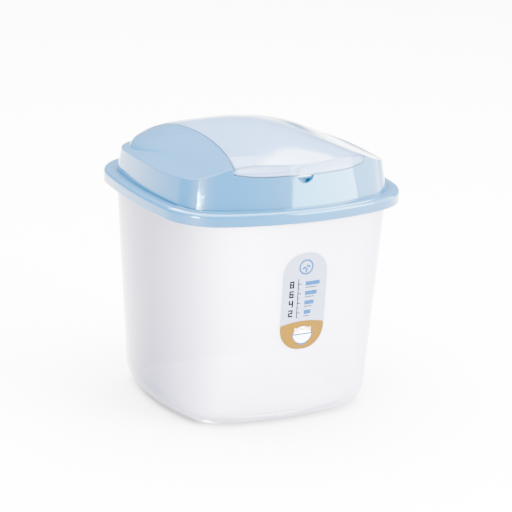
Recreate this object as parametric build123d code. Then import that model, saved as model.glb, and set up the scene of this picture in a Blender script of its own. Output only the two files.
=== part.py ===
from build123d import *
import math
import os

# Rice bucket: a tapered storage tub, a lift-off lid and a clear flip cover over the lid's pour opening.
# Millimetres, +Z up, front towards -Y, origin at the middle of the foot.

# Heights: over the cover, and how far the cover's crown stands above the tub's rim
total_height = 279.4
lid_height = 62.8
rim_top = total_height - lid_height

# Tub
base_width = 215.9
base_depth = 210.8
base_corner = 40.0
base_front_bow = 16.5
base_side_bow = 19.0
mouth_width = 238.0
mouth_depth = 235.0
mouth_corner = 51.0
least_corner = 6.0
front_bow = 26.0
side_bow = 10.0
tub_wall = 2.2
tub_floor = 2.5
foot_height = 3.5
foot_width = 4.0
base_round = 22.0
rim_thickness = 2.4
rim_reach = 7.2
rim_lip_drop = 5.0

# Sticker on the tub's front
label_width = 48.0
label_height = 99.0
label_middle = (3.4, 127.6)
label_corner = 22.0
label_thickness = 0.3
label_gap = 0.05

# Lid: collar, groove and upright wall. The collar reaches out past the tub's mouth and down past its rim.
collar_side_reach = 11.0
collar_front_reach = 10.9
collar_corner_growth = 7.0
collar_drop = 5.4
deck_rise = 5.4
bead_height = 1.4
bead_round = 4.0
bead_width = 5.6
collar_width = mouth_width + 2 * collar_side_reach
collar_depth = mouth_depth + 2 * collar_front_reach
collar_corner = mouth_corner + collar_corner_growth
collar_bottom = rim_top - collar_drop
groove_floor = rim_top + deck_rise
bead_top = groove_floor + bead_height
wall_foot_inset = 11.9
wall_lean = 0.145
lid_wall = 2.2
plug_depth = 4.2
plug_bottom = rim_top - plug_depth
plug_clearance = 0.7
plug_inset = tub_wall + plug_clearance
rim_seal_gap = 0.3
rim_seal_width = 5.0

# Flip cover and its opening. The ledge, sill and hinge line rise from the front wall's top.
wall_height = 28.8
wall_top_front = groove_floor + wall_height
ledge_rise = 0.9
ledge_top = wall_top_front + ledge_rise
ledge_thickness = 2.0
sill_height = 1.3
hatch_sill = ledge_top + sill_height
sill_level_half = 38.0
sill_end = (76.0, 4.5)
hatch_waist = 50.6
hatch_waist_place = 25.3
hatch_side_radius = 400.0
hatch_mouth = 72.0
hatch_gap = 0.5
cover_thickness = 2.0
cover_lift = 0.3

# Hinge
hinge_inset = 39.4
hinge_place = collar_depth / 2 - hinge_inset
hinge_rise = 3.0
hinge_height = hatch_sill + hinge_rise
hinge_radius = 6.6
hinge_trough_gap = 1.4
rear_rib_gap = 9.5
rear_rib_place = hinge_place - rear_rib_gap
curl_start = 2.0
knuckle_length = 7.0
pin_radius = 1.5
pin_running_gap = 0.06
pin_seat_gap = 0.02
pin_end_gap = 0.4
boss_length = 6.0
boss_radius = 4.2

# Coaming round the pour opening, with the soft ring that the cover's skirt closes on
coaming_height = 4.5
coaming_thickness = 1.8
hatch_seal_gap = 0.3
hatch_seal_front_gap = 0.6
hatch_seal_rear_gap = 0.8
hatch_seal_thickness = 1.8
hatch_seal_height = 3.6
coaming_side = hatch_gap + cover_thickness + hatch_seal_gap + hatch_seal_thickness
coaming_front = cover_thickness + hatch_seal_front_gap + hatch_seal_thickness
coaming_rear = rear_rib_place - cover_thickness - hatch_seal_rear_gap - hatch_seal_thickness

# Lid: domed top, given on sections across the lid. Behind, its crown falls to pass just over the hinge's curl.
crown_middle = -4.0
crown_fall_front = 0.00138
crown_over_curl = 0.3669
crown_fall_back = (total_height - hinge_height - hinge_radius - crown_over_curl) / (hinge_place - crown_middle) ** 2
crown_least_rise = 0.4
hatch_edge_rise = 17.5
hatch_edge_top = wall_top_front + hatch_edge_rise
hatch_edge_middle = 15.0
hatch_edge_fall_front = 0.00045
hatch_edge_fall_back = 0.00135
wall_top_slope = 0.0205
wall_top_drop = 3.0
wall_top_drop_end = 90.0
wall_top_inset = 5.1
wall_top_half = collar_width / 2 - wall_foot_inset - wall_top_inset
dome_end_inset = 10.4
dome_end = collar_depth / 2 - dome_end_inset
dome_stations = [-dome_end, -85.0, -50.0, -15.0, 20.0, 50.0, rear_rib_place, dome_end]

# A cheek: a mound falls from the hatch's edge to its foot, and an apron slopes on to the wall's top.
# The foot lies near the hatch in front and near the wall behind, given as shares of the way out and of the rise.
# Shortly before the rear rib it starts to be drawn in again, by foot_draw_in per millimetre.
foot_front = (0.12, 0.88)
foot_back = (0.85, 0.03)
foot_draw_in = 0.0065
foot_draw_run = 19.5
foot_draw_start = rear_rib_place - foot_draw_run
mound_front = [(0.38, 0.62), (0.66, 0.34), (0.82, 0.18), (0.93, 0.07), (1.0, 0.0)]
mound_back = [(0.38, 0.80), (0.66, 0.54), (0.82, 0.38), (0.93, 0.22), (1.0, 0.0)]
apron_sag = 0.17

# Finger scoop in the lid's front wall and thumb tab on the cover's lip
scoop_radius = 9.0
scoop_rise = 1.5
scoop_depth = 5.0
scoop_wall = 1.8
tab_width = 18.0
tab_proud = 0.8
tab_margin = 3.0

# Cutting blocks: a little over what is cut, above the lid, and far beyond the object
over = 1.0
sky = total_height + 10 * over
beyond = 200.0


def between(first, last, share):
    return first + (last - first) * share


def eased(share):
    """A share from 0 to 1 that starts and ends gently."""
    held = min(max(share, 0.0), 1.0)
    return held * held * (3 - 2 * held)


def swelled_rectangle(width, depth, corner, bow_y, bow_x):
    """A rounded rectangle whose sides swell: bow is how far a side's middle stands out past its ends."""
    cx = width / 2 - bow_x
    cy = depth / 2 - bow_y
    sides = [
        ThreePointArc((-cx, -cy), (0, -depth / 2), (cx, -cy)),
        ThreePointArc((cx, -cy), (width / 2, 0), (cx, cy)),
        ThreePointArc((cx, cy), (0, depth / 2), (-cx, cy)),
        ThreePointArc((-cx, cy), (-width / 2, 0), (-cx, -cy)),
    ]
    face = make_face(Curve() + sides)
    return fillet(face.vertices(), max(corner, least_corner))


def tub_section(z, inset):
    """The tub's outline at a height, drawn in by inset. It grows evenly from base to mouth."""
    share = z / rim_top
    outline = swelled_rectangle(
        between(base_width, mouth_width, share) - 2 * inset,
        between(base_depth, mouth_depth, share) - 2 * inset,
        between(base_corner, mouth_corner, share) - inset,
        between(base_front_bow, front_bow, share),
        between(base_side_bow, side_bow, share),
    )
    return Pos(0, 0, z) * outline


def mouth_block(bottom, top, inset):
    """An upright block with the outline of the tub's mouth, drawn in by inset."""
    return Pos(0, 0, bottom - rim_top) * extrude(tub_section(rim_top, inset), top - bottom)


def tub_form(bottom, top, inset):
    return loft([tub_section(bottom, inset), tub_section(top, inset)], ruled=True)


def lid_section(z, inset):
    """The collar's outline at a height, drawn in by inset."""
    outline = swelled_rectangle(
        collar_width - 2 * inset, collar_depth - 2 * inset, collar_corner - inset, front_bow, side_bow
    )
    return Pos(0, 0, z) * outline


def lid_block(bottom, top, inset):
    return extrude(lid_section(bottom, inset), top - bottom)


def lid_wall_form(bottom, top, inset):
    """The upright wall's form: it leans in as it rises."""
    foot = wall_foot_inset + inset + wall_lean * (bottom - groove_floor)
    head = wall_foot_inset + inset + wall_lean * (top - groove_floor)
    return loft([lid_section(bottom, foot), lid_section(top, head)], ruled=True)


def wall_face(z):
    """How far from the middle the front and back wall's faces stand at a height."""
    return collar_depth / 2 - wall_foot_inset - wall_lean * (z - groove_floor)


def crown_height(y):
    fall = crown_fall_front if y < crown_middle else crown_fall_back
    return total_height - fall * (y - crown_middle) ** 2


def hatch_edge_height(y):
    fall = hatch_edge_fall_front if y < hatch_edge_middle else hatch_edge_fall_back
    return hatch_edge_top - fall * (y - hatch_edge_middle) ** 2


def hatch_half_width(y):
    """Half the hatch's width at a place: an arc that opens towards the front, straight behind the waist."""
    if y > hatch_waist_place:
        return hatch_waist
    away = y - hatch_waist_place
    return hatch_waist + hatch_side_radius - math.sqrt(hatch_side_radius**2 - away**2)


def wall_top_height(y):
    level = wall_top_front - wall_top_slope * (y + collar_depth / 2)
    return level - wall_top_drop * eased(y / wall_top_drop_end)


def dome_section(y, inset):
    """One section across the dome: crown, hatch edge, mound and apron, then out past the wall."""
    fullness = eased((y + collar_depth / 2) / (rear_rib_place + collar_depth / 2))
    edge_x = min(hatch_half_width(y), hatch_mouth)
    edge_z = min(hatch_edge_height(y), crown_height(y) - crown_least_rise)
    wall_z = wall_top_height(y)
    foot_u = between(foot_front[0], foot_back[0], fullness) - foot_draw_in * max(0, y - foot_draw_start)
    foot_h = between(foot_front[1], foot_back[1], fullness)
    foot_x = between(edge_x, wall_top_half, foot_u) - inset * fullness
    foot_z = between(wall_z, edge_z, foot_h)
    half = [(edge_x, edge_z)]
    for (u, low), (u, high) in zip(mound_front, mound_back):
        rise = between(low, high, fullness * fullness)
        half.append((between(edge_x, foot_x, u), between(foot_z, edge_z, rise)))
    rim_x = collar_width / 2
    rim_z = wall_z - (foot_z - wall_z) * (rim_x - wall_top_half) / (wall_top_half - foot_x)
    sag = apron_sag * (1 - fullness) * (edge_z - wall_z)
    middle = ((foot_x + rim_x) / 2, (foot_z + rim_z) / 2 - sag)
    right = [(x, z - inset) for x, z in half]
    left = [(-x, z) for x, z in reversed(right)]
    crest = Spline(left + [(0, crown_height(y) - inset)] + right)
    middle = (middle[0], middle[1] - inset)
    rim = (rim_x, rim_z - inset)
    floor = groove_floor - beyond / 4
    apron = Spline(right[-1], middle, rim)
    below = Polyline(rim, (rim_x, floor), (-rim_x, floor), (-rim_x, rim[1]))
    curves = [crest, apron, below, mirror(apron, Plane.YZ)]
    face = make_face(Curve() + [Plane.XZ * curve for curve in curves])
    return Pos(0, y, 0) * face


def dome_form(inset):
    """Everything under the lid's domed top surface."""
    return loft([dome_section(y, inset) for y in dome_stations])


def rear_slope(inset):
    """What lies behind the dome's rear slope, from the hinge trough down to the back wall's top."""
    top = (hinge_place + hinge_radius + hinge_trough_gap, hinge_height)
    foot_z = wall_top_height(collar_depth / 2)
    foot = (wall_face(foot_z), foot_z)
    run = foot[0] - top[0]
    fall = top[1] - foot[1]
    drop = inset * math.hypot(run, fall) / run
    a = (top[0] - 3 * run, top[1] + 3 * fall - drop)
    b = (foot[0] + 3 * run, foot[1] - 3 * fall - drop)
    face = make_face(Polyline(a, b, (b[0], a[1]), a))
    return Pos(-beyond, 0, 0) * extrude(Plane.YZ * face, 2 * beyond)


def hatch_form(bottom, top, inset, rear):
    """An upright block with the hatch's sides, open to the front, drawn in by inset."""
    front = -collar_depth / 2 - over
    waist = hatch_waist - inset
    radius = hatch_side_radius + inset
    plan = Pos(0, (front + rear) / 2) * Rectangle(2 * beyond, rear - front)
    for side in (-1, 1):
        plan -= Pos(side * (waist + radius), hatch_waist_place) * Circle(radius)
        behind = rear - hatch_waist_place
        reach = beyond - waist
        plan -= Pos(side * (waist + reach / 2), hatch_waist_place + behind / 2) * Rectangle(reach, behind)
    return Pos(0, 0, bottom) * extrude(plan, top - bottom)


def sill_form(lift):
    """What lies below the hatch's front sill line, which is level in the middle and rises to the sides."""
    z = hatch_sill + lift
    end_x, rise = sill_end
    line = Line((-sill_level_half, z), (sill_level_half, z))
    right = TangentArc((sill_level_half, z), (end_x, z + rise), tangent=(1, 0))
    right += Polyline((end_x, z + rise), (end_x, collar_bottom), (0, collar_bottom))
    profile = make_face(line + right + mirror(right, Plane.YZ))
    return extrude(Plane.XZ * profile, collar_depth / 2)


def across(radius, length, y, z):
    """A round bar along X, centred on the hinge line's middle plane."""
    return Pos(0, y, z) * Rot(0, 90, 0) * Cylinder(radius, length)


def along(radius, y0, y1, z):
    """A round bar along Y over the middle."""
    return Pos(0, (y0 + y1) / 2, z) * Rot(90, 0, 0) * Cylinder(radius, y1 - y0)


def slab(x0, x1, y0, y1, z0, z1):
    return Pos((x0 + x1) / 2, (y0 + y1) / 2, (z0 + z1) / 2) * Box(x1 - x0, y1 - y0, z1 - z0)


def make_tub():
    outside = tub_form(0, rim_top, 0)
    outside = fillet(outside.edges().group_by(Axis.Z)[0], base_round)
    floor_top = foot_height + tub_floor
    inside = tub_form(floor_top, rim_top + over, tub_wall)
    inside = fillet(inside.edges().group_by(Axis.Z)[0], base_round - tub_wall)
    recess = extrude(tub_section(0, base_round + foot_width), foot_height)
    rim_bottom = rim_top - rim_thickness
    rim = mouth_block(rim_bottom - rim_lip_drop, rim_top, -rim_reach)
    rim -= mouth_block(rim_bottom - rim_lip_drop - over, rim_bottom, tub_wall - rim_reach)
    return outside + rim - inside - recess


def make_label():
    middle_x, middle_z = label_middle
    shape = Rectangle(label_width, label_height)
    shape = fillet(shape.vertices(), label_corner)
    stamp = Plane.XZ * shape
    stamp = Pos(middle_x, -base_depth / 4, middle_z) * extrude(stamp, base_depth / 2)
    skin = tub_form(0, rim_top, -label_gap - label_thickness)
    skin -= tub_form(0, rim_top, -label_gap)
    return skin & stamp


def lid_top(inset):
    """The wall and dome as one solid block above the deck."""
    return lid_wall_form(groove_floor - 2 * over, sky, inset) & dome_form(inset)


def hatch_inside(bottom, top, side, front, rear):
    """The space inside the hatch, inset by side from the hatch's side and by front from the wall's face."""
    form = hatch_form(bottom, top, side, rear)
    return form & lid_wall_form(bottom, top, front)


def make_lid_frame():
    far = collar_depth / 2
    deck_bottom = groove_floor - lid_wall
    ledge_bottom = ledge_top - ledge_thickness

    # Solid form: collar with its bead and groove, then wall and dome
    collar = lid_block(collar_bottom, bead_top, 0)
    collar = fillet(collar.edges().group_by(Axis.Z)[-1], bead_round)
    dish = [lid_section(groove_floor, wall_foot_inset + over), lid_section(bead_top + over, bead_width - over)]
    collar -= loft(dish, ruled=True)
    frame = collar + (lid_top(0) - rear_slope(0))

    # Well: what stays solid round the flip cover's opening, with a trough for the cover's rear curl
    trough_radius = hinge_radius + hinge_trough_gap
    trough_rear = hinge_place + trough_radius
    outer_radius = trough_radius + lid_wall
    outer_half = hatch_waist + lid_wall
    kept = hatch_form(ledge_bottom, sky, -lid_wall, hinge_place)
    kept += across(outer_radius, 2 * outer_half, hinge_place, hinge_height)
    kept += slab(-outer_half, outer_half, hinge_place, trough_rear + lid_wall, hinge_height, sky)

    # Bosses for the hinge pins, on the well's side walls
    boss = across(boss_radius, 2 * (hatch_waist + boss_length), hinge_place, hinge_height)
    kept += boss

    # Housing behind the finger scoop
    face = -wall_face(hatch_sill)
    back = face + scoop_depth
    centre = hatch_sill + scoop_rise
    low = centre - 2 * scoop_radius
    house = along(scoop_radius + scoop_wall, -far, back + scoop_wall, centre)
    kept += house & slab(-far, far, -far, 0, low, ledge_bottom + ledge_thickness / 2)

    # Hollow underneath: the channel for the tub's rim, and everything inside the plug, wall and dome
    channel = lid_block(collar_bottom - over, deck_bottom, lid_wall)
    channel -= mouth_block(plug_bottom, deck_bottom + over, plug_inset)
    inner = mouth_block(collar_bottom - 2 * over, groove_floor - over, plug_inset + lid_wall)
    inner += lid_top(lid_wall) - rear_slope(lid_wall)
    frame = frame - channel - (inner - kept)

    # Opening down to the ledge, round the front sill and the coaming
    opening = hatch_form(ledge_top, sky, 0, hinge_place)
    sill_high = hatch_sill + sill_end[1] + over
    sill_wall = lid_wall_form(ledge_bottom, sill_high, 0) - lid_wall_form(ledge_bottom, sill_high, lid_wall)
    opening -= sill_wall & sill_form(0)
    coaming_top = ledge_top + coaming_height
    opening -= hatch_inside(ledge_bottom, coaming_top, coaming_side, coaming_front, coaming_rear)
    opening += across(trough_radius, 2 * hatch_waist, hinge_place, hinge_height)
    opening += slab(-hatch_waist, hatch_waist, hinge_place, trough_rear, hinge_height, sky)
    thick = coaming_thickness
    pour_rear = coaming_rear - thick
    pour = hatch_inside(ledge_bottom - over, sky, coaming_side + thick, coaming_front + thick, pour_rear)
    frame = frame - opening - pour

    # Blind holes that seat the pins
    hole_end = hatch_waist + boss_length - lid_wall / 2
    frame -= across(pin_radius + pin_seat_gap, 2 * hole_end, hinge_place, hinge_height)

    # Finger scoop under the cover's lip: through the sill, then deeper below the ledge
    scoop = along(scoop_radius, -far, back, centre) & slab(-far, far, -far, 0, low, ledge_bottom)
    notch = along(scoop_radius, -far, face + lid_wall, centre)
    scoop += notch & slab(-far, far, -far, 0, low, hatch_sill + over)
    return frame - scoop


def make_rim_seal():
    """A flat ring round the plug, under the deck and just above the tub's rim."""
    bottom = rim_top + rim_seal_gap
    top = groove_floor - lid_wall
    ring = mouth_block(bottom, top, plug_inset - rim_seal_width)
    return ring - mouth_block(bottom - over, top + over, plug_inset)


def make_hatch_seal():
    """A ring round the coaming that the cover's skirt closes on."""
    top = ledge_top + hatch_seal_height
    thick = hatch_seal_thickness
    ring = hatch_inside(ledge_top, top, coaming_side - thick, coaming_front - thick, coaming_rear + thick)
    return ring - hatch_inside(ledge_top - over, top + over, coaming_side, coaming_front, coaming_rear)


def make_cover():
    thick = cover_thickness
    bottom = hatch_sill + cover_lift
    dome = lid_top(0)
    inside_dome = lid_top(thick)
    half = hatch_waist - hatch_gap
    web = rear_rib_place - thick / 2

    # Domed tray with a skirt all round
    tray = hatch_form(bottom, sky, hatch_gap, rear_rib_place) & dome
    cavity = hatch_form(bottom - over, sky, hatch_gap + thick, rear_rib_place - thick) & inside_dome

    # Rear edge curled round the hinge line, open towards the front below it
    leave = hinge_place + curl_start
    curl = slab(-half, half, web, leave, hinge_height, sky)
    curl += across(hinge_radius, 2 * half, hinge_place, hinge_height)
    curl &= dome
    curl_space = slab(-half, half, rear_rib_place, leave, hinge_height, sky)
    curl_space += across(hinge_radius - thick, 2 * half, hinge_place, hinge_height)
    curl_space &= inside_dome
    curl_space += slab(-half, half, rear_rib_place, hinge_place, hinge_height - 2 * hinge_radius, hinge_height)
    lip_high = bottom + sill_end[1] + over
    behind_sill = lid_wall_form(collar_bottom, lip_high, lid_wall + cover_lift)
    cover = (tray - cavity - (sill_form(cover_lift) - behind_sill)) + (curl - curl_space)

    # Knuckles that carry the pins
    knuckle = across(hinge_radius, knuckle_length, hinge_place, hinge_height)
    knuckle += slab(-knuckle_length / 2, knuckle_length / 2, web, leave, hinge_height - pin_radius, sky)
    hole = across(pin_radius + pin_running_gap, 2 * knuckle_length, hinge_place, hinge_height)
    for side in (-1, 1):
        place = Pos(side * (half - knuckle_length / 2), 0, 0)
        cover += place * knuckle & dome
        cover -= place * hole

    # Thumb tab on the lip, above the finger scoop
    tab_top = crown_height(-wall_face(bottom)) - tab_margin
    tab = lid_wall_form(bottom, tab_top, -tab_proud) - lid_wall_form(bottom - over, tab_top + over, thick / 2)
    tab &= slab(-tab_width / 2, tab_width / 2, -collar_depth / 2, 0, bottom, tab_top)
    return cover + tab


def make_pin(side):
    """A hinge pin from the cover's knuckle into the lid's boss."""
    inner = hatch_waist - hatch_gap - knuckle_length + pin_end_gap
    outer = hatch_waist + boss_length - lid_wall / 2 - pin_end_gap
    pin = across(pin_radius, outer - inner, hinge_place, hinge_height)
    pin = chamfer(pin.edges().filter_by(GeomType.CIRCLE), pin_radius / 5)
    return Pos(side * (inner + outer) / 2, 0, 0) * pin


os.makedirs("parts", exist_ok=True)
nodes = {
    "bucket_body": make_tub(),
    "bucket_label": make_label(),
    "lid_frame": make_lid_frame(),
    "rim_seal": make_rim_seal(),
    "hatch_seal": make_hatch_seal(),
    "flip_cover": make_cover(),
    "hinge_pin_left": make_pin(-1),
    "hinge_pin_right": make_pin(1),
}
for name, shape in nodes.items():
    export_step(shape, f"parts/{name}.step")
    box = shape.bounding_box()
    print(name, round(shape.volume), box.min, box.max, len(shape.solids()), "solids")
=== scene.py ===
import math
import bpy
from mathutils import Matrix, Vector

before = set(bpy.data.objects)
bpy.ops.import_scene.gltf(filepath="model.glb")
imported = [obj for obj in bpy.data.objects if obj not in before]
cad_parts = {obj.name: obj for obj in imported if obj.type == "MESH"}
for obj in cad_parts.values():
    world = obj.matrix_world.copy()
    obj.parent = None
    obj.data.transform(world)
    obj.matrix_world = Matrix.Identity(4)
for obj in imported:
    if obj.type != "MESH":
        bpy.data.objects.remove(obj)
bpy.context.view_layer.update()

view = {  # where the picture is taken from: metres and degrees, lens and sensor in millimetres
    "target": (0.0, 0.0, 0.1315),
    "distance": 2.5512,
    "azimuth": -27.811,
    "height": 17.207,
    "roll": 1.974,
    "lens": 179.75,
    "sensorWidth": 36.0,
    "shift": (0.01675, 0.01768),
    "clipEnd": 20.0,
}

studio = {  # floor, sky and lamps
    "floorSize": 12.0,
    "floorColor": (0.315, 0.3175, 0.32, 1),
    "floorRoughness": 0.8,
    "skyColor": (1, 1, 1, 1),
    "skyStrength": 0.9,
    "lamps": [  # name, place, aim, width, height, brightness
        ("topPanel", (0.0, 0.6, 3.0), (0.0, 0.6, 0.0), 5.0, 5.0, 80.0),
        ("keyPanel", (1.2175, -1.5867, 0.8), (0.0, 0.0, 0.8), 1.34, 1.6, 170.0),
        ("sidePanel", (1.93, -0.52, 0.8), (0.0, 0.0, 0.8), 1.3, 1.6, 35.0),
        ("stripPanel", (-1.59, -0.845, 0.19), (0.0, 0.0, 0.19), 0.50, 0.24, 1300.0),
    ],
}


def aimed(place, aim):  # stands at the place and looks at the aim
    back = (Vector(place) - Vector(aim)).normalized()
    return Matrix.Translation(place) @ back.to_track_quat("Z", "Y").to_matrix().to_4x4()


def addCamera():
    azimuth = math.radians(view["azimuth"])
    height = math.radians(view["height"])
    back = Vector((
        math.sin(azimuth) * math.cos(height),
        -math.cos(azimuth) * math.cos(height),
        math.sin(height),
    ))
    place = Vector(view["target"]) + back * view["distance"]
    roll = Matrix.Rotation(math.radians(view["roll"]), 4, "Z")
    data = bpy.data.cameras.new("camera")
    data.sensor_width = view["sensorWidth"]
    data.lens = view["lens"]
    data.shift_x, data.shift_y = view["shift"]
    data.clip_end = view["clipEnd"]
    camera = bpy.data.objects.new("camera", data)
    bpy.context.collection.objects.link(camera)
    camera.matrix_world = aimed(place, view["target"]) @ roll
    bpy.context.scene.camera = camera


def addSky():
    world = bpy.data.worlds.new("studio")
    bpy.context.scene.world = world
    world.use_nodes = True
    sky = world.node_tree.nodes["Background"]
    sky.inputs["Color"].default_value = studio["skyColor"]
    sky.inputs["Strength"].default_value = studio["skyStrength"]


def addLamps():
    for name, place, aim, width, tall, brightness in studio["lamps"]:
        data = bpy.data.lights.new(name, "AREA")
        data.shape = "RECTANGLE"
        data.size = width
        data.size_y = tall
        data.energy = brightness * math.pi * width * tall  # power follows the panel's area
        lamp = bpy.data.objects.new(name, data)
        bpy.context.collection.objects.link(lamp)
        lamp.matrix_world = aimed(place, aim)


class Wire:  # a shader socket that takes part in sums
    def __init__(self, tree, socket):
        self.tree = tree
        self.socket = socket

    def sum(self, operation, *values):
        node = self.tree.nodes.new("ShaderNodeMath")
        node.operation = operation
        for place, value in zip(node.inputs, values):
            plug(self.tree, place, value)
        return Wire(self.tree, node.outputs[0])

    def __add__(self, other): return self.sum("ADD", self, other)
    def __radd__(self, other): return self.sum("ADD", other, self)
    def __sub__(self, other): return self.sum("SUBTRACT", self, other)
    def __rsub__(self, other): return self.sum("SUBTRACT", other, self)
    def __mul__(self, other): return self.sum("MULTIPLY", self, other)
    def __rmul__(self, other): return self.sum("MULTIPLY", other, self)
    def __truediv__(self, other): return self.sum("DIVIDE", self, other)
    def __rtruediv__(self, other): return self.sum("DIVIDE", other, self)
    def __pow__(self, other): return self.sum("POWER", self, other)
    def __lt__(self, other): return self.sum("LESS_THAN", self, other)
    def __gt__(self, other): return self.sum("GREATER_THAN", self, other)
    def __abs__(self): return self.sum("ABSOLUTE", self)
    def root(self): return self.sum("SQRT", self)
    def low(self, other): return self.sum("MINIMUM", self, other)
    def high(self, other): return self.sum("MAXIMUM", self, other)


def plug(tree, place, value):  # a wire is linked, anything else is set
    if isinstance(value, Wire):
        tree.links.new(value.socket, place)
    else:
        place.default_value = value


class Paint:  # a material under construction
    def __init__(self, name):
        self.material = bpy.data.materials.new(name)
        self.material.use_nodes = True
        self.tree = self.material.node_tree
        self.shader = self.tree.nodes["Principled BSDF"]

    def set(self, **sockets):  # Base_Color stands for the shader's Base Color
        for name, value in sockets.items():
            plug(self.tree, self.shader.inputs[name.replace("_", " ")], value)

    def node(self, kind, settings, sockets, out=0):
        node = self.tree.nodes.new("ShaderNode" + kind)
        for name, value in settings.items():
            setattr(node, name, value)
        for name, value in sockets.items():
            plug(self.tree, node.inputs[name], value)
        if out == "all":
            return [Wire(self.tree, socket) for socket in node.outputs]
        return Wire(self.tree, node.outputs[out])

    def place(self):  # the piece's own coordinates, together and apart
        spot = self.node("TexCoord", {}, {}, "Object")
        return spot, self.node("SeparateXYZ", {}, {0: spot}, "all")

    def noise(self, spot, scale, detail):
        return self.node("TexNoise", {}, {"Vector": spot, "Scale": scale, "Detail": detail}, "Fac")

    def rounded(self, radius, samples):  # the normal as if edges had this radius
        return self.node("Bevel", {"samples": samples}, {"Radius": radius}, "Normal")

    def mix(self, amount, first, second):
        return self.node("Mix", {"data_type": "RGBA"}, {0: amount, 6: first, 7: second}, 2)


def wear(paint, *nodes):
    for node in nodes:
        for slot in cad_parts[node].material_slots:
            slot.material = paint.material


print("camera and lamps")
addCamera()
addSky()
addLamps()

print("floor")
bpy.ops.object.select_all(action="DESELECT")
bpy.ops.mesh.primitive_plane_add(size=studio["floorSize"])
floor = bpy.context.object
floor.name = "floor"
floorPaint = Paint("floorPaint")
floorPaint.set(Base_Color=studio["floorColor"], Roughness=studio["floorRoughness"])
floor.data.materials.append(floorPaint.material)

moulding = {  # what all moulded pieces share
    "flowScale": 9.0, "flowDetail": 2.0,
    "grainScale": 260.0, "grainDetail": 4.0, "grainMiddle": 0.5,
    "grainStrength": 0.05, "grainHeight": 0.0002,
    "edgeSamples": 8,
}


def mouldedPlastic(name, look):
    # faint flow marks in the colour, fine grain in the gloss, edges a little soft
    paint = Paint(name)
    paint.set(Specular_IOR_Level=look["shine"])
    if "tint" in look:  # what the surface mirrors takes this colour
        paint.set(Specular_Tint=look["tint"])
    if "haze" in look:  # a dull sheen over the gloss
        paint.set(Coat_Weight=look["haze"], Coat_Roughness=look["hazeRoughness"])
    spot, (x, y, z) = paint.place()
    flow = paint.noise(spot, moulding["flowScale"], moulding["flowDetail"])
    grain = paint.noise(spot, moulding["grainScale"], moulding["grainDetail"])
    color = paint.mix(flow, look["darker"], look["color"])
    alpha = look.get("alpha", 1.0)
    if "side" in look:  # painted shade: the side walls and the foot are darker and less see-through than the front, where the light falls off
        start, end = look["sideShadeStart"], look["sideShadeEnd"]
        aside = (abs(x) - z * look["taper"] - start) / (end - start)
        aside = aside.high(0.0).low(1.0) ** look["sideShadeCurve"]
        aside = aside.high((look["footShadeTop"] - z) * (look["footShadeShare"] / look["footShadeTop"]))
        color = paint.mix(aside, color, look["side"])
        alpha = alpha + aside * look["sideShadeAlpha"]
    if "base" in look:  # painted light: the flat floor is lighter and less see-through than the walls, standing in for the bright ground showing through it
        half = look["baseHalf"]
        low = (z < look["baseTop"]) * (abs(x) < half) * (abs(y) < half)
        color = paint.mix(low, color, look["base"])
        alpha = alpha + low * look["baseAlpha"]
    if "edge" in look:  # painted shade: turned edges are darkened and less see-through, standing in for light bending along a turned wall
        wide = paint.rounded(look["edgeWidth"], moulding["edgeSamples"])
        flat = paint.node("NewGeometry", {}, {}, "Normal")
        same = paint.node("VectorMath", {"operation": "DOT_PRODUCT"}, {0: wide, 1: flat}, "Value")
        edgeShadeMask = ((1.0 - same) * look["edgeGain"]).low(1.0)
        color = paint.mix(edgeShadeMask, color, look["edge"])
        alpha = alpha + edgeShadeMask * look["edgeAlpha"]
    soft = paint.rounded(look["softEdge"], moulding["edgeSamples"])
    relief = {
        "Height": grain, "Normal": soft,
        "Strength": moulding["grainStrength"], "Distance": moulding["grainHeight"],
    }
    paint.set(
        Base_Color=color,
        Alpha=alpha,
        Roughness=look["roughness"] + (grain - moulding["grainMiddle"]) * look["grain"],
        Normal=paint.node("Bump", {}, relief, "Normal"),
    )
    return paint


print("tub")
tub = {
    "color": (0.44, 0.43, 0.53, 1), "darker": (0.41, 0.40, 0.50, 1), "shine": 0.25,
    "roughness": 0.2, "grain": 0.05, "softEdge": 0.001, "alpha": 0.36,
    # painted shade along the tub's turned edges
    "edge": (0.10, 0.095, 0.14, 1), "edgeWidth": 0.004, "edgeGain": 2.0, "edgeAlpha": 0.1,
    # painted shade on the side walls and the foot
    "side": (0.038, 0.0355, 0.059, 1), "sideShadeAlpha": 0.44, "sideShadeCurve": 1.6,
    "sideShadeStart": 0.032, "sideShadeEnd": 0.108, "taper": 0.05,  # metres from the middle, and per metre up
    "footShadeTop": 0.12, "footShadeShare": 0.55,  # the foot's share of that painted shade, fading out at this height
    # painted light on the flat floor
    "base": (0.85, 0.85, 0.9, 1), "baseTop": 0.0068, "baseHalf": 0.084, "baseAlpha": 0.5,
}
wear(mouldedPlastic("tubPlastic", tub), "bucket_body")

print("lid")
lid = {
    "color": (0.0012, 0.0235, 0.058, 1), "darker": (0.0010, 0.0216, 0.054, 1), "shine": 0.22,
    "tint": (0.20, 0.70, 1.0, 1), "haze": 0.16, "hazeRoughness": 0.5,
    "roughness": 0.06, "grain": 0.02, "softEdge": 0.0011,
}
wear(mouldedPlastic("lidPlastic", lid), "lid_frame")

print("cover")
cover = {
    "color": (0.056, 0.094, 0.172, 1), "darker": (0.052, 0.089, 0.165, 1), "shine": 0.18,
    "tint": (0.75, 0.9, 1.0, 1),
    "roughness": 0.11, "grain": 0.02, "softEdge": 0.0007, "alpha": 0.56,
    # painted shade along the cover's turned edges
    "edge": (0.002, 0.004, 0.007, 1), "edgeWidth": 0.0035, "edgeGain": 8.0, "edgeAlpha": 0.4,
}
wear(mouldedPlastic("coverPlastic", cover), "flip_cover")

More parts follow.
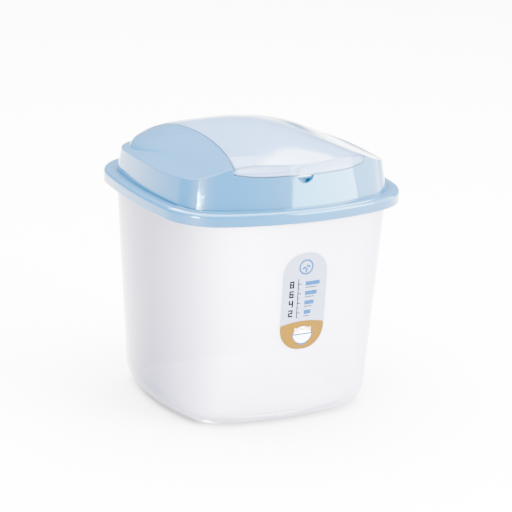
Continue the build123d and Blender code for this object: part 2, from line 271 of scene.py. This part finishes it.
print("seals and pins")
seal = {
    "color": (0.5, 0.5, 0.52, 1), "darker": (0.45, 0.45, 0.47, 1), "shine": 0.5,
    "roughness": 0.5, "grain": 0.1, "softEdge": 0.0004,
}
pin = {
    "color": (0.4, 0.45, 0.5, 1), "darker": (0.36, 0.42, 0.48, 1), "shine": 0.5,
    "roughness": 0.3, "grain": 0.1, "softEdge": 0.0002,
}
wear(mouldedPlastic("sealRubber", seal), "rim_seal", "hatch_seal")
wear(mouldedPlastic("pinPlastic", pin), "hinge_pin_left", "hinge_pin_right")

print("sticker")
sticker = {  # metres across and up from the sticker's middle
    "middle": (0.0034, 0.1276),  # its place on the tub's front
    "roughness": 0.6, "shine": 0.03,
    "paper": (0.076, 0.085, 0.122, 1),
    "yellow": (0.037, 0.0180, 0.00001, 1),
    "blue": (0.0015, 0.0150, 0.0500, 1),
    "ink": (0.0012, 0.0012, 0.0016, 1),
    "grey": (0.006, 0.0065, 0.008, 1),
    "heap": (0.5, 0.5, 0.5, 1),
    "heapShade": (0.20, 0.17, 0.12, 1),
    "china": (0.30, 0.32, 0.36, 1),
    "fieldTop": -0.0235, "fieldCrown": 0.0035, "fieldHalf": 0.024,
    "ring": (0.0, 0.0350), "ringOuter": 0.0080, "ringInner": 0.0060,
    "grains": [  # x, z, turn
        (-0.0021, 0.0342, 0.35), (0.0024, 0.0358, -0.5), (0.0003, 0.0318, 1.3),
    ],
    "grainLong": 0.0026, "grainWide": 0.0012,
    "bowl": (0.0005, -0.0330), "bowlRadius": 0.0108, "bowlWall": 0.0007,
    "rimTall": 0.0018, "rimOver": 0.0006,
    "footHalf": 0.0040, "footBelow": 0.0012, "footAbove": 0.0004,
    "heapDrop": 0.0035, "heapShare": 0.93,
    "heapGrains": 3, "heapPitch": 0.0026, "heapTurn": 0.5,  # grains each side of the middle one
    "heapLift": 0.0022, "heapStagger": 0.0012, "heapCrown": 0.0006,
    "digits": [("8", 0.0180), ("6", 0.0082), ("4", -0.0016), ("2", -0.0114)],  # digit, its height
    "digitX": -0.0142, "digitWidth": 0.0052, "digitTall": 0.0076, "stroke": 0.0019,
    "ruleX": -0.0080, "ruleWidth": 0.0013, "ruleEnds": (-0.0165, 0.0235),
    "tickLong": 0.0042, "tickHalf": 0.0006,
    "halfTickLong": 0.0028, "halfTick": (-0.0054, -0.0044),
    "levelX": 0.0002, "levelHalf": 0.0022, "levelLong": 0.0050, "levelStep": 0.0028,
    "underline": (-0.0046, -0.0034), "underlineShare": 0.8,
}
strokes = {  # a digit's seven strokes: middle and half size, in its half widths and half heights
    "top": (0, 1, 1, 0), "middle": (0, 0, 1, 0), "bottom": (0, -1, 1, 0),
    "upperLeft": (-1, 0.5, 0, 0.5), "upperRight": (1, 0.5, 0, 0.5),
    "lowerLeft": (-1, -0.5, 0, 0.5), "lowerRight": (1, -0.5, 0, 0.5),
}
digitStrokes = {
    "2": ("top", "upperRight", "middle", "lowerLeft", "bottom"),
    "4": ("upperLeft", "middle", "upperRight", "lowerRight"),
    "6": ("top", "upperLeft", "middle", "lowerLeft", "lowerRight", "bottom"),
    "8": tuple(strokes),
}


class Print(Paint):  # flat shapes laid over each other on the sticker's film
    def __init__(self, name, paper):
        super().__init__(name)
        x, y, z = self.place()[1]
        self.across = x - sticker["middle"][0]
        self.up = z - sticker["middle"][1]
        self.color = sticker[paper]

    def lay(self, shape, ink):
        self.color = self.mix(shape, self.color, sticker[ink])

    def disc(self, x, z, radius):
        across, up = self.across - x, self.up - z
        return (across * across + up * up).root() < radius

    def bar(self, left, right, bottom, top):
        x, z = self.across, self.up
        return (x > left) * (x < right) * (z > bottom) * (z < top)

    def grain(self, x, z, turn):
        across, up = self.across - x, self.up - z
        along = (across * math.cos(turn) + up * math.sin(turn)) / sticker["grainLong"]
        aside = (up * math.cos(turn) - across * math.sin(turn)) / sticker["grainWide"]
        return (along * along + aside * aside) < 1.0


def printField(film):  # yellow, with a crowned top
    fall = film.across * film.across * (1 / sticker["fieldHalf"] ** 2)
    crown = sticker["fieldTop"] + sticker["fieldCrown"] * (1.0 - fall)
    film.lay(film.up < crown, "yellow")


def printRing(film):  # with three grains in it
    x, z = sticker["ring"]
    ring = film.disc(x, z, sticker["ringOuter"]) - film.disc(x, z, sticker["ringInner"])
    film.lay(ring, "blue")
    for grain in sticker["grains"]:
        film.lay(film.grain(*grain), "blue")


def printBowl(film):  # heaped with grain
    x, z = sticker["bowl"]
    radius = sticker["bowlRadius"]
    rimFoot = z - sticker["rimTall"]
    rimHalf = radius + sticker["rimOver"]
    heap = film.disc(x, z - sticker["heapDrop"], radius * sticker["heapShare"])
    film.lay(heap * (film.up > z), "heap")
    side = sticker["heapGrains"]
    for step in range(-side, side + 1):
        lift = sticker["heapLift"] + sticker["heapStagger"] * (step % 2)
        lift = lift + sticker["heapCrown"] * (side - abs(step))
        place = x + step * sticker["heapPitch"]
        film.lay(film.grain(place, z + lift, step * sticker["heapTurn"]), "heapShade")
    film.lay(film.disc(x, z, radius) * (film.up < z), "blue")
    film.lay(film.disc(x, z, radius - sticker["bowlWall"]) * (film.up < rimFoot), "china")
    film.lay(film.bar(x - rimHalf, x + rimHalf, rimFoot, z), "blue")
    foot, half = z - radius, sticker["footHalf"]
    bottom, top = foot - sticker["footBelow"], foot + sticker["footAbove"]
    film.lay(film.bar(x - half, x + half, bottom, top), "blue")


def printDigit(film, digit, level):
    stroke = sticker["stroke"]
    halfWidth = (sticker["digitWidth"] - stroke) / 2
    halfTall = (sticker["digitTall"] - stroke) / 2
    for name in digitStrokes[digit]:
        x, z, wide, tall = strokes[name]
        x = sticker["digitX"] + x * halfWidth
        z = level + z * halfTall
        wide = wide * halfWidth + stroke / 2
        tall = tall * halfTall + stroke / 2
        film.lay(film.bar(x - wide, x + wide, z - tall, z + tall), "ink")


def printGauge(film):  # digits beside an upright rule, with two ticks and a level bar for each
    rule, tick, level = sticker["ruleX"], sticker["tickHalf"], sticker["levelHalf"]
    bottom, top = sticker["ruleEnds"]
    film.lay(film.bar(rule, rule + sticker["ruleWidth"], bottom, top), "ink")
    for digit, z in sticker["digits"]:
        printDigit(film, digit, z)
        film.lay(film.bar(rule, rule + sticker["tickLong"], z - tick, z + tick), "ink")
        bottom, top = sticker["halfTick"]
        film.lay(film.bar(rule, rule + sticker["halfTickLong"], z + bottom, z + top), "grey")
        start = sticker["levelX"]
        long = sticker["levelLong"] + sticker["levelStep"] * int(digit) / 2
        film.lay(film.bar(start, start + long, z - level, z + level), "blue")
        bottom, top = sticker["underline"]
        long = long * sticker["underlineShare"]
        film.lay(film.bar(start, start + long, z + bottom, z + top), "grey")


film = Print("stickerFilm", "paper")
film.set(Roughness=sticker["roughness"], Specular_IOR_Level=sticker["shine"])
printField(film)
printRing(film)
printBowl(film)
printGauge(film)
film.set(Base_Color=film.color)
wear(film, "bucket_label")
